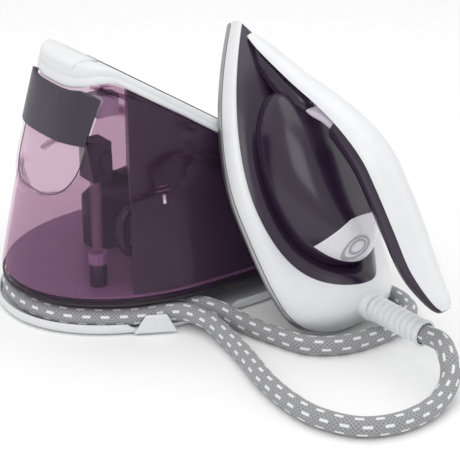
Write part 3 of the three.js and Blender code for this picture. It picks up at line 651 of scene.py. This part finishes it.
class IRON_OT_hose(bpy.types.Operator):
    """Builds the braided hose: the part stored round the base, and the loop to the iron"""
    bl_idname = "iron.hose"
    bl_label = "Steam hose"

    def execute(self, context):
        diameter = context.scene.iron_sizes.hose_diameter
        radius = diameter * 500.0
        stored, path, length = hose_tube("braided_hose_stored", STORED_ROUTE, radius, ["hose_stored"])
        out = np.array([-math.sin(RELIEF_LEAN), 0, math.cos(RELIEF_LEAN)])
        mouth = [from_iron(RELIEF_BASE + out * s) * 1000.0 - CENTRE
                 for s in (RELIEF_LENGTH + 16, RELIEF_LENGTH + 3, RELIEF_LENGTH - 9.7)]
        route = LOOP_ROUTE + [tuple(p) for p in mouth]
        loop, path, length = hose_tube("braided_hose_loop", route, radius, ["hose_loop"])
        loop_joined(loop)
        return {"FINISHED"}


def loop_joined(loop):
    """The loop is taken off its body and its placement baked into its mesh; its route runs from the station at the
    clip to the iron at the strain relief.
    """
    loop.parent = None
    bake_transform(loop)


class IRON_OT_stage(bpy.types.Operator):
    """Floor, lights and camera"""
    bl_idname = "iron.stage"
    bl_label = "Stage"

    def execute(self, context):
        scene = context.scene
        mesh = bpy.data.meshes.new("studio_floor")
        s = 6.0
        mesh.from_pydata([(-s, -s, 0), (s, -s, 0), (s, s, 0), (-s, s, 0)], [], [(0, 1, 2, 3)])
        floor = bpy.data.objects.new("studio_floor", mesh)
        scene.collection.objects.link(floor)
        mesh.materials.append(moulded("studio_paper", (0.93, 0.93, 0.93), 0.7, 0.0, 0.0, 0.995))
        world = bpy.data.worlds.new("studio_light")
        world.use_nodes = True
        world.node_tree.nodes["Background"].inputs[0].default_value = (1.0, 1.0, 1.0, 1.0)
        world.node_tree.nodes["Background"].inputs[1].default_value = 0.78
        scene.world = world
        lamps = (("key", (-1.1, -0.7, 1.4), 1.1, 7.0), ("fill", (1.3, -1.2, 0.9), 1.2, 3.5),
                 ("top", (0.1, 0.2, 1.8), 1.6, 10.0))
        for name, place, size, power in lamps:
            lamp = bpy.data.lights.new(name, "AREA")
            lamp.size = size
            lamp.energy = power
            lit = bpy.data.objects.new(name, lamp)
            lit.location = place
            lit.rotation_euler = (Vector((0, 0, 0.08)) - Vector(place)).to_track_quat("-Z", "Y").to_euler()
            scene.collection.objects.link(lit)
        lens = bpy.data.cameras.new("camera")
        lens.lens = 116.2
        lens.sensor_width = 36.0
        camera = bpy.data.objects.new("camera", lens)
        place = Vector((-0.60655, -0.87174, 0.542))
        camera.location = place
        aim = Vector((-0.02645, -0.05114, 0.095)) - place
        camera.rotation_euler = aim.to_track_quat("-Z", "Y").to_euler()
        scene.collection.objects.link(camera)
        scene.camera = camera
        scene.view_settings.view_transform = "Standard"
        return {"FINISHED"}


class IRON_OT_tray(bpy.types.Operator):
    """Builds the white tray and the tab that holds the stored hose"""
    bl_idname = "iron.tray"
    bl_label = "Tray and clip"

    def execute(self, context):
        a = ring_angles(240)[None, :]
        section = [(120, 1.4), (2.4, 1.4), (1.2, 1.8), (0.3, 3.0), (0.0, 5.0), (0.0, 8.0), (0.5, 8.9), (1.3, 9.2),
                   (2.1, 8.9), (2.6, 8.2), (2.6, 5.6), (3.2, 4.5), (4.4, 4.2), (98, 4.2)]
        inset = np.array([p[0] for p in section])[:, None]
        height = np.array([p[1] for p in section])[:, None]
        x, y = tray(a, np.minimum(inset, 90))
        dip = np.clip((np.minimum(x + 66, 26 - x)) / 5, 0, 1) + np.clip((np.minimum(x - 84, 142 - x)) / 5, 0, 1)
        dip = dip * (y < -55)
        z = np.where(height > 5.2, height - dip * (height - 5.2), np.broadcast_to(height, x.shape))
        points = np.stack([x, y, z], axis=-1)
        points[0] = [10, 0, 1.4]
        points[-1] = [10, 0, 4.2]
        surface("tray", from_station(points), "station", LOOKS["white"], ["base_tray"], around=True)
        outline = np.array([(-17, 1.8), (17, 1.8), (9, 17), (-7, 17)])
        turn = math.radians(-27)
        both = []
        for y_side in (-1.4, 1.4):
            flat = np.stack([outline[:, 0] * math.cos(turn) - y_side * math.sin(turn) - 47.5,
                             outline[:, 0] * math.sin(turn) + y_side * math.cos(turn) - 93.5, outline[:, 1]], axis=-1)
            both.append(flat)
        faces = [(3, 2, 1, 0), (4, 5, 6, 7)] + [(i, (i + 1) % 4, (i + 1) % 4 + 4, i + 4) for i in range(4)]
        clip = finish_mesh("hose_tab", from_station(np.concatenate(both)), faces, "station", LOOKS["white"],
                           ["hose_clip"])
        bevel = clip.modifiers.new("Edge", "BEVEL")
        bevel.width = 0.0011
        bevel.segments = 4
        return {"FINISHED"}


class IRON_OT_tank(bpy.types.Operator):
    """Builds the see-through tank with its U-shaped opening, a thin black band round its lower edge and its level
    mark
    """
    bl_idname = "iron.tank"
    bl_label = "Water tank"

    def execute(self, context):
        near = np.array([-1.25, -1.19, -0.9, -0.5, 0, 0.6, 1.5, 3, 5, 8, 12, 16, 20, 25, 30, 34]) + DOOR_BOTTOM
        heights = np.concatenate([np.linspace(TANK_BOTTOM, 100, 26), near, np.linspace(141, 192.2, 16)])
        v = ((heights - TANK_BOTTOM) / (heights[-1] - TANK_BOTTOM))[:, None]
        t = np.linspace(0, 1, 220)[None, :]
        z = np.broadcast_to(heights[:, None], (len(heights), t.shape[1])).copy()
        for _ in range(14):
            up = np.maximum(0, z - TANK_BOTTOM)
            half = (95 - 0.225 * up) * (1 - 0.00023 * 80)
            power = 2.05 + 0.0072 * up
            swing = HINGE_X + np.sqrt(np.maximum(0, DOOR_REACH ** 2 - (z - HINGE_Z) ** 2))
            end = 120.0 - 0.285 * np.maximum(0, z - 30)
            over = half * np.maximum(0, 1 - np.clip(-swing / end, 0, 1) ** power) ** (1 / power)
            door = door_half_width(z, 0.3)
            opening = np.where(z > CAP_BOTTOM, np.minimum(door, over), door)
            gap = np.arcsin(np.clip(opening / half, 0, 1) ** (power / 2))
            angle = PI + gap + t * (2 * PI - 2 * gap)
            x, y = body(angle, z)
            z = TANK_BOTTOM + v * (roof(x) - TANK_BOTTOM)
        points = np.stack([x, y, z], axis=-1)
        surface("tank_shell", from_station(points), "station", LOOKS["tank"], ["water_tank"], closed=False,
                thick=context.scene.iron_sizes.tank_wall, crease=50)
        a = ring_angles(240)[None, :]
        rise = np.concatenate([[0], np.linspace(0, 1, 30), [1]])[:, None]
        x, y, z = np.moveaxis(skin(a, rise, 3.6, 31.2, roof), -1, 0)
        for _ in range(10):
            x = np.maximum(body(a, z, 3.6)[0], housing_wall(y, z))
            z = 31.2 + rise * (roof(x) - 0.4 - 31.2)
        housing = np.stack([x, y, z], axis=-1)
        housing[0] = [60, 0, 31.2]
        housing[-1] = [60, 0, roof(60.0) - 0.4]
        surface("machine_housing", from_station(housing), "station", LOOKS["housing"], ["inner_housing"],
                around=True, crease=60)
        x, y = body(a, np.full_like(a, 31.0), 2.6)
        ring = np.stack([x, y, np.full_like(x, 31.0)], axis=-1)
        lower = ring - [0, 0, 2]
        middle = np.broadcast_to([10.0, 0.0, 31.0], ring.shape)
        floor = np.concatenate([middle - [0, 0, 2], lower, ring, middle])
        surface("tank_well", from_station(floor), "station", LOOKS["well"], ["tank_floor"], around=True)
        # A thin black band, 2 mm tall, round the tank's lower edge just outside the shell.
        ends = np.array([0.0, 1.0])[:, None]
        band = skin(ring_angles(240)[None, :], ends, -0.15, 23.4, lambda x: 25.4 + 0 * x)
        surface("tank_foot_black_band", from_station(band), "station", LOOKS["black"], around=True, closed=False,
                thick=0.0015)
        for i, (x0, x1, z0, z1) in enumerate(((-31.5, -20.5, 108.6, 109.8), (-29.5, -22.5, 112.2, 112.9),
                                              (-27.2, -24.8, 99, 106))):
            xs = np.linspace(x0, x1, 12)[None, :]
            zs = np.linspace(z0, z1, 6)[:, None]
            xs, zs = np.broadcast_arrays(xs, zs)
            mark = np.stack([xs, front_y(xs, zs) - 0.12, zs], axis=-1)
            surface(f"level_mark_{i + 1}", from_station(mark), "station", LOOKS["mark"], closed=False,
                    thick=0.0001)
        return {"FINISHED"}


def door_panel(low, high, grow, inset_sides, top_line=None):
    """Part of the tank end between two heights: rows as wide as the door's outline at their height."""
    rows = np.concatenate([[low], low + (high - low) * np.linspace(0, 1, 40)[1:] ** 1.2])
    across = np.sin(np.linspace(-PI / 2, PI / 2, 61))[None, :]
    z = np.broadcast_to(rows[:, None], (len(rows), across.shape[1]))
    y = across * (door_half_width(z) - inset_sides)
    x = tank_end_x(y, z, -grow)
    if top_line is not None:
        share = (z - low) / (high - low)
        z = low + share * (top_line(x) - low)
        y = across * (door_half_width(z) - inset_sides)
        x = tank_end_x(y, z, -grow)
    return np.stack([x, y, z], axis=-1)


def door_line(name, line, proud):
    """Thin dark tube laid on the tank end along a line of (y, z) points."""
    path, _ = smooth_path(line, 120)
    turn = ring_angles(10)[None, :]
    y = path[:, :1] + 0.45 * np.cos(turn)
    z = path[:, 1:] + 0.45 * np.cos(turn)
    x = tank_end_x(path[:, :1] + 0 * y, path[:, 1:] + 0 * y, -proud) + 0.4 * np.sin(turn)
    surface(name, from_station(capped(np.stack([x, y, z], axis=-1))), "door", LOOKS["black"], around=True)


class IRON_OT_door(bpy.types.Operator):
    """Builds the filling door: clear window below, dark cap with its finger scoop above"""
    bl_idname = "iron.door"
    bl_label = "Filling door"

    def execute(self, context):
        def top_line(x):
            swing = HINGE_Z + np.sqrt(np.maximum(1, DOOR_REACH ** 2 - (x - HINGE_X) ** 2))
            return np.minimum(roof(x) - 0.6, swing - 0.2)

        window = door_panel(DOOR_BOTTOM, CAP_BOTTOM, 0.0, 0.0)
        surface("door_pane", from_station(window), "door", LOOKS["clear"], ["door_window"], closed=False,
                thick=0.0024, crease=50)
        cap = door_panel(CAP_BOTTOM + 0.4, 192.0, 0.8, 0.0, top_line)
        y, z = cap[..., 1], cap[..., 2]
        scoop = np.exp(-((y + 2) / 24) ** 4) * np.clip((z - 178) / 9, 0, 1)
        cap[..., 0] += 1.2 * scoop ** 2
        surface("door_lid", from_station(cap), "door", LOOKS["cap"], ["door_cap"], closed=False, thick=0.003,
                crease=50)
        recess = [(34, 180.5), (20, 177.6), (4, 175.4), (-8, 174), (-15, 174.3), (-20, 177), (-23.5, 183)]
        door_line("finger_recess_line", recess, 0.8)
        z = DOOR_BOTTOM + 42.0 * np.linspace(0, 1, 24) ** 2
        half = np.concatenate([[0.0], door_half_width(z) - 0.4])
        z = np.concatenate([[DOOR_BOTTOM], z + 0.2])
        edge = np.concatenate([np.stack([half, z], axis=-1)[::-1], np.stack([-half, z], axis=-1)[1:]])
        door_line("door_seam", edge, 0.1)
        return {"FINISHED"}


class IRON_OT_rest(bpy.types.Operator):
    """Builds the sloping rest, its pads and the carry-lock button at its tip"""
    bl_idname = "iron.rest"
    bl_label = "Rest and lock"

    def execute(self, context):
        a = ring_angles(240)[None, :]
        # each ring: inset from the outline, and share of the thickness
        rings = [(60, 0.0), (30, 0.0), (8, 0.0), (2.0, 0.0), (1.0, 0.02), (0.3, 0.1), (0.0, 0.2), (0.0, 0.42),
                 (0.35, 0.46), (0.35, 0.5), (0.0, 0.54), (0.0, 0.8), (0.3, 0.91), (0.9, 0.98), (1.8, 1.0),
                 (4, 1.0), (12, 1.0), (30, 1.0), (60, 1.0)]
        rows = []
        for inset, share in rings:
            x = np.zeros_like(a)
            for _ in range(10):
                z = rest_under(x) + share * (rest_top(x) - rest_under(x))
                lean = np.maximum(0, -np.cos(a)) ** 3
                x, y = body(a, z, -0.4, lean)
                keep = 1 - np.minimum(inset / 66, 0.985)
                x = 30 + (x - 30) * (1 - inset / 105 * np.sign(inset)) if inset < 60 else 30 + (x - 30) * 0.4
                y = y * keep
            z = rest_under(x) + share * (rest_top(x) - rest_under(x))
            rows.append(np.stack([x, y, z], axis=-1))
        points = np.concatenate(rows, axis=0)
        spine = points[[0, -1]].copy()
        spine[..., 1] = 0
        points = np.concatenate([spine[:1], points, spine[1:]], axis=0)
        surface("sloping_rest", from_station(points), "station", LOOKS["white"], ["platform"],
                around=True, crease=45)
        slope = math.atan(0.63)
        lift = context.scene.iron_sizes.pad_height * 1000
        for i, y0 in enumerate((-16, 16)):
            ring = ring_angles(96)
            x_out = signed_power(np.cos(ring), 0.25) * 72 + 32
            y_out = signed_power(np.sin(ring), 0.25) * 9
            levels = [(1.0, -2), (1.0, lift - 0.3), (0.97, lift), (0.0, lift)]
            pad = []
            for share, h in levels:
                s, t = 32 + (x_out - 32) * (share ** 0.2 if share else 0), y_out * share
                pad.append(np.stack([s * math.cos(slope) + h * math.sin(slope), y0 + t,
                                     172 - s * math.sin(slope) + h * math.cos(slope)], axis=-1))
            surface(f"rest_strip_{i + 1}", from_station(np.stack(pad)), "station", LOOKS["rubber"],
                    [f"rest_pad_{i + 1}"], around=True, closed=False)
        y = np.sin(np.linspace(-PI / 2, PI / 2, 49))[None, :] * 23.8
        tip = tank_end_x(y, np.full_like(y, 200.0), -0.4 - 1.0)
        rows = []
        section = ((0, 0), (0.3, 0), (0.6, 0), (0.85, 0), (0.95, 0.3), (1.0, 1.6), (1.0, 4), (1.0, 7.5))
        for x_share, drop in section:
            x = -50.2 + (tip - 0.2 + 50.2) * x_share
            z = rest_top(x) + 1.0 - drop
            rows.append(np.stack([x, np.broadcast_to(y, x.shape), z], axis=-1))
        surface("release_button", from_station(np.concatenate(rows)), "carry_lock", LOOKS["white"],
                ["lock_button"], closed=False, thick=0.0022, crease=60)
        return {"FINISHED"}


class IRON_OT_body(bpy.types.Operator):
    """Builds the iron's sole, skirt, dark body, dome and silver cap"""
    bl_idname = "iron.body"
    bl_label = "Iron body"

    def execute(self, context):
        a = ring_angles(200)[None, :]
        rows = []
        for inset, n in ((100, 0.0), (1.6, 0.0), (0.9, 0.25), (0.2, 1.0), (0.0, 1.8), (0.0, 5.4), (0.5, 6.1),
                         (100, 6.1)):
            u, w = sole(a, min(inset, 1.6))
            if inset == 100:
                u, w = np.full_like(u, 120.0), np.zeros_like(w)
            rows.append(iron_point(u, w, n))
        surface("sole", from_iron(np.concatenate(rows)), "iron", LOOKS["cast"], ["soleplate"],
                around=True, crease=50)
        surface("white_skirt", from_iron(shell_points(skirt_surface, 200, 24, 2.2)), "iron", LOOKS["white"],
                ["skirt"], around=True, along=True, crease=50)
        surface("dark_body", from_iron(shell_points(ledge_surface, 200, 10, 2.2)), "iron", LOOKS["dark"],
                ["body_cover"], around=True, along=True, crease=50)
        surface("dome", from_iron(shell_points(dome_surface, 200, 40, 2.2)), "iron", LOOKS["dark"],
                ["dome_cover"], around=True, along=True, crease=50)
        ring = ring_angles(120)
        surface("silver_cap", from_iron(heel_cap()), "iron", LOOKS["silver"], ["rear_cap"], closed=False,
                thick=0.0005)
        for i, (outer, inner) in enumerate(((9.6, 8.2), (6.2, 4.9))):
            radius = np.array([inner, inner + 0.2, outer - 0.2, outer])[:, None]
            rise = np.array([0.5, 1.0, 1.0, 0.5])[:, None]
            u = 55.0 + radius * 0.72 * np.cos(ring)[None, :]
            w = 8.0 + radius * np.sin(ring)[None, :]
            replaced = ["temperature_light"] if i == 0 else []
            surface(f"ready_light_{i + 1}", from_iron(on_dome(u, w, np.broadcast_to(rise, u.shape))), "iron",
                    LOOKS["grey"], replaced, around=True, closed=False, thick=0.0003)
        return {"FINISHED"}


HANDLE = [(239, 23, 5, 4), (226, 31, 8.5, 6), (188, 55.5, 11.5, 9.5), (157, 78.5, 14.5, 12), (132, 93, 16.5, 14.5),
          (108, 102, 17.5, 15.5), (85, 104, 17.5, 15.5), (53, 104.5, 17, 15), (23, 104.5, 15.5, 13), (2, 109, 12, 9),
          (-8, 112.5, 9, 6), (-12.5, 114.5, 5, 3)]
PARTING = math.radians(27)


def handle_sweep(first, last, count, section):
    """An ellipse whose half sizes change along the handle's path, in the plane across the path."""
    path, _ = smooth_path(HANDLE, 400)
    centre, size = path[:, :2], path[:, 2:]
    tangent = np.gradient(centre, axis=0)
    tangent /= np.linalg.norm(tangent, axis=1, keepdims=True)
    k = np.linspace(first * 399, last * 399, count)
    pick = [np.interp(k, np.arange(400), column)[:, None] for column in
            (centre[:, 0], centre[:, 1], size[:, 0], size[:, 1], tangent[:, 0], tangent[:, 1])]
    u, n, wide, tall, along_u, along_n = pick
    across, out = section(wide, tall)
    return iron_point(u + along_n * out, across, n - along_u * out)


def shell_section(wide, tall):
    """Upper part of the ellipse, closed by a flat just below the parting line."""
    phi = np.linspace(PARTING, PI - PARTING, 40)[None, :]
    floor = np.linspace(-1, 1, 14)[None, 1:-1] * math.cos(PARTING)
    across = np.concatenate([np.cos(phi) * wide, floor * wide], axis=1)
    level = np.sin(PARTING) * tall
    out = np.concatenate([np.sin(phi) * tall, np.broadcast_to(level, (len(wide), floor.shape[1]))], axis=1)
    return across, out


def grip_section(wide, tall):
    """Lower part of the ellipse, cut off level under the parting line and drawn in a little."""
    phi = ring_angles(72)[None, :]
    return np.cos(phi) * (wide - 0.4), np.minimum(np.sin(phi) * tall, np.sin(PARTING) * tall - 0.5)


class IRON_OT_handle(bpy.types.Operator):
    """Builds the handle: white shell, dark grip under it, the dark neck and the steam trigger"""
    bl_idname = "iron.handle"
    bl_label = "Handle and trigger"

    def execute(self, context):
        shell = capped(handle_sweep(0.0, 1.0, 160, shell_section))
        surface("white_handle", from_iron(shell), "iron", LOOKS["white"], ["handle_shell"],
                around=True, crease=55)
        grip = capped(handle_sweep(0.42, 0.992, 120, grip_section))
        surface("dark_grip", from_iron(grip), "iron", LOOKS["dark"], ["handle_grip"], around=True, crease=55)
        neck = np.array([(230, 25, 2, 1), (224, 27.5, 5, 3.5), (212, 32, 9, 8), (196, 39, 10, 10), (182, 46, 10, 12),
                         (172, 51, 9, 11), (166, 53, 7, 7)])
        path, _ = smooth_path(neck, 60)
        phi = ring_angles(56)[None, :]
        across = signed_power(np.cos(phi), 0.8) * path[:, 2:3]
        lift = signed_power(np.sin(phi), 0.8) * path[:, 3:4]
        points = capped(iron_point(path[:, :1] + 0 * phi, across, path[:, 1:2] + lift))
        surface("dark_neck", from_iron(points), "iron", LOOKS["dark"], (), around=True, crease=55)
        press = np.array([(164, 64, 10, 1.5), (160, 69, 11, 3.6), (153, 77, 11, 4), (145, 83.5, 11, 4),
                          (137, 88.5, 10.5, 3), (132, 91, 9, 1)])
        path, _ = smooth_path(press, 40)
        tangent = np.gradient(path[:, :2], axis=0)
        tangent /= np.linalg.norm(tangent, axis=1, keepdims=True)
        across = signed_power(np.cos(phi), 0.6) * path[:, 2:3]
        out = signed_power(np.sin(phi), 0.8) * path[:, 3:4]
        points = iron_point(path[:, :1] + tangent[:, 1:2] * out, across, path[:, 1:2] - tangent[:, :1] * out)
        surface("trigger_key", from_iron(capped(points)), "trigger", LOOKS["lavender"], ["steam_trigger"],
                around=True, crease=55)
        return {"FINISHED"}


class IRON_OT_relief(bpy.types.Operator):
    """Builds the collar and the ribbed strain relief that the hose enters"""
    bl_idname = "iron.relief"
    bl_label = "Strain relief"

    def execute(self, context):
        def leaned(points):
            c, s = math.cos(RELIEF_LEAN), math.sin(RELIEF_LEAN)
            x, y, z = points[..., 0], points[..., 1], points[..., 2]
            return np.stack([x * c - z * s, y, x * s + z * c], axis=-1) + RELIEF_BASE

        collar = turned([(0, -18), (11, -18), (11, -6), (11.2, -2), (11.0, 0.2), (10.4, 0.6), (0, 0.6)])
        surface("relief_collar", from_iron(leaned(collar)), "iron", LOOKS["white"], ["hose_collar"],
                around=True)
        z = np.linspace(1, RELIEF_LENGTH - 4, 220)
        wave = np.abs((z - 1) / 5.8 % 1 - 0.5) * 2
        r = 10.2 - 0.01 * z - 1.0 * np.clip((wave - 0.72) / 0.16, 0, 1)
        profile = [(0, 1)] + list(zip(r, z)) + [(10.3, RELIEF_LENGTH - 3.6), (10.5, RELIEF_LENGTH - 2.8),
                                                (10.5, RELIEF_LENGTH - 0.8), (10.2, RELIEF_LENGTH - 0.1),
                                                (9.6, RELIEF_LENGTH), (8.5, RELIEF_LENGTH - 0.3),
                                                (8.4, RELIEF_LENGTH - 10), (0, RELIEF_LENGTH - 10)]
        surface("ribbed_relief", from_iron(leaned(turned(profile, 64))), "iron", LOOKS["white"], ["strain_relief"],
                around=True, crease=35)
        return {"FINISHED"}


class IRON_PT_panel(bpy.types.Panel):
    """Lists the pieces in the order they are made"""
    bl_idname = "IRON_PT_panel"
    bl_label = "Steam Iron"
    bl_space_type = "VIEW_3D"
    bl_region_type = "UI"
    bl_category = "Steam Iron"

    def draw(self, context):
        for operator in OPERATORS:
            self.layout.operator(operator.bl_idname)


OPERATORS = (IRON_OT_finishes, IRON_OT_stage, IRON_OT_hose, IRON_OT_tray, IRON_OT_tank, IRON_OT_door, IRON_OT_rest,
             IRON_OT_body, IRON_OT_handle, IRON_OT_relief)
CLASSES = (IronColours, IronSizes) + OPERATORS + (IRON_PT_panel,)


def register():
    for cls in CLASSES:
        bpy.utils.register_class(cls)
    bpy.types.Scene.iron_colours = bpy.props.PointerProperty(type=IronColours)
    bpy.types.Scene.iron_sizes = bpy.props.PointerProperty(type=IronSizes)


def unregister():
    del bpy.types.Scene.iron_sizes
    del bpy.types.Scene.iron_colours
    for cls in reversed(CLASSES):
        bpy.utils.unregister_class(cls)


def main():
    register()
    for operator in OPERATORS:
        group, name = operator.bl_idname.split(".")
        getattr(getattr(bpy.ops, group), name)()


if __name__ == "__main__":
    main()
